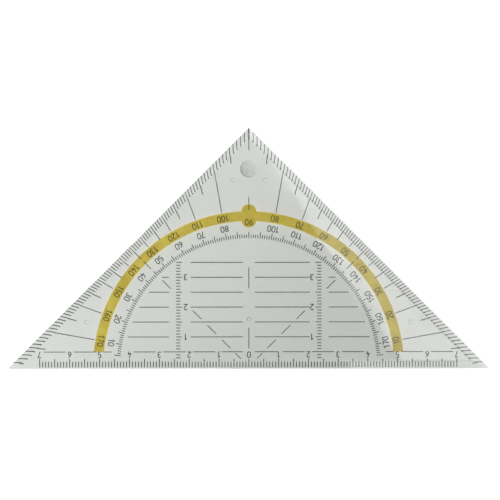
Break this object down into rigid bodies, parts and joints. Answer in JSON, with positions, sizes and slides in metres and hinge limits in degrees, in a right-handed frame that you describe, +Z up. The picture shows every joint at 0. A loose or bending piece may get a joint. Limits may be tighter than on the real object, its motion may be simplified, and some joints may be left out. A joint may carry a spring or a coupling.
{
  "type": "protractor set square",
  "caption": "Clear triangular drawing plate with bevelled edges, printed with a centimetre scale, a half-circle protractor and parallel lines, for drawing and measuring lines and angles.",
  "frame": {"origin": "middle of the long edge, on the plane of the paper under the nub tips", "axes": "+X along the long edge, +Y from the long edge to the apex, +Z up out of the face that is read"},
  "size_m": [0.1616, 0.081, 0.0024],
  "materials": {
    "clear_polystyrene": "polished",
    "dark_ink": "screen-printed",
    "yellow_ink": "screen-printed"
  },
  "bodies": {
    "root": {"plate": "clear_polystyrene", "edge_scale_ticks": "dark_ink", "edge_scale_numerals": "dark_ink", "base_line": "dark_ink", "parallel_lines": "dark_ink", "height_scale_left": "dark_ink", "height_scale_right": "dark_ink", "height_scale_numerals": "dark_ink", "centre_line": "dark_ink", "diagonal_lines": "dark_ink", "degree_ticks_left": "dark_ink", "degree_ticks_right": "dark_ink", "ten_degree_lines": "dark_ink", "inner_degree_ring": "dark_ink", "outer_degree_numerals": "dark_ink", "inner_degree_numerals": "dark_ink", "yellow_degree_band": "yellow_ink"}
  },
  "joints": []
}
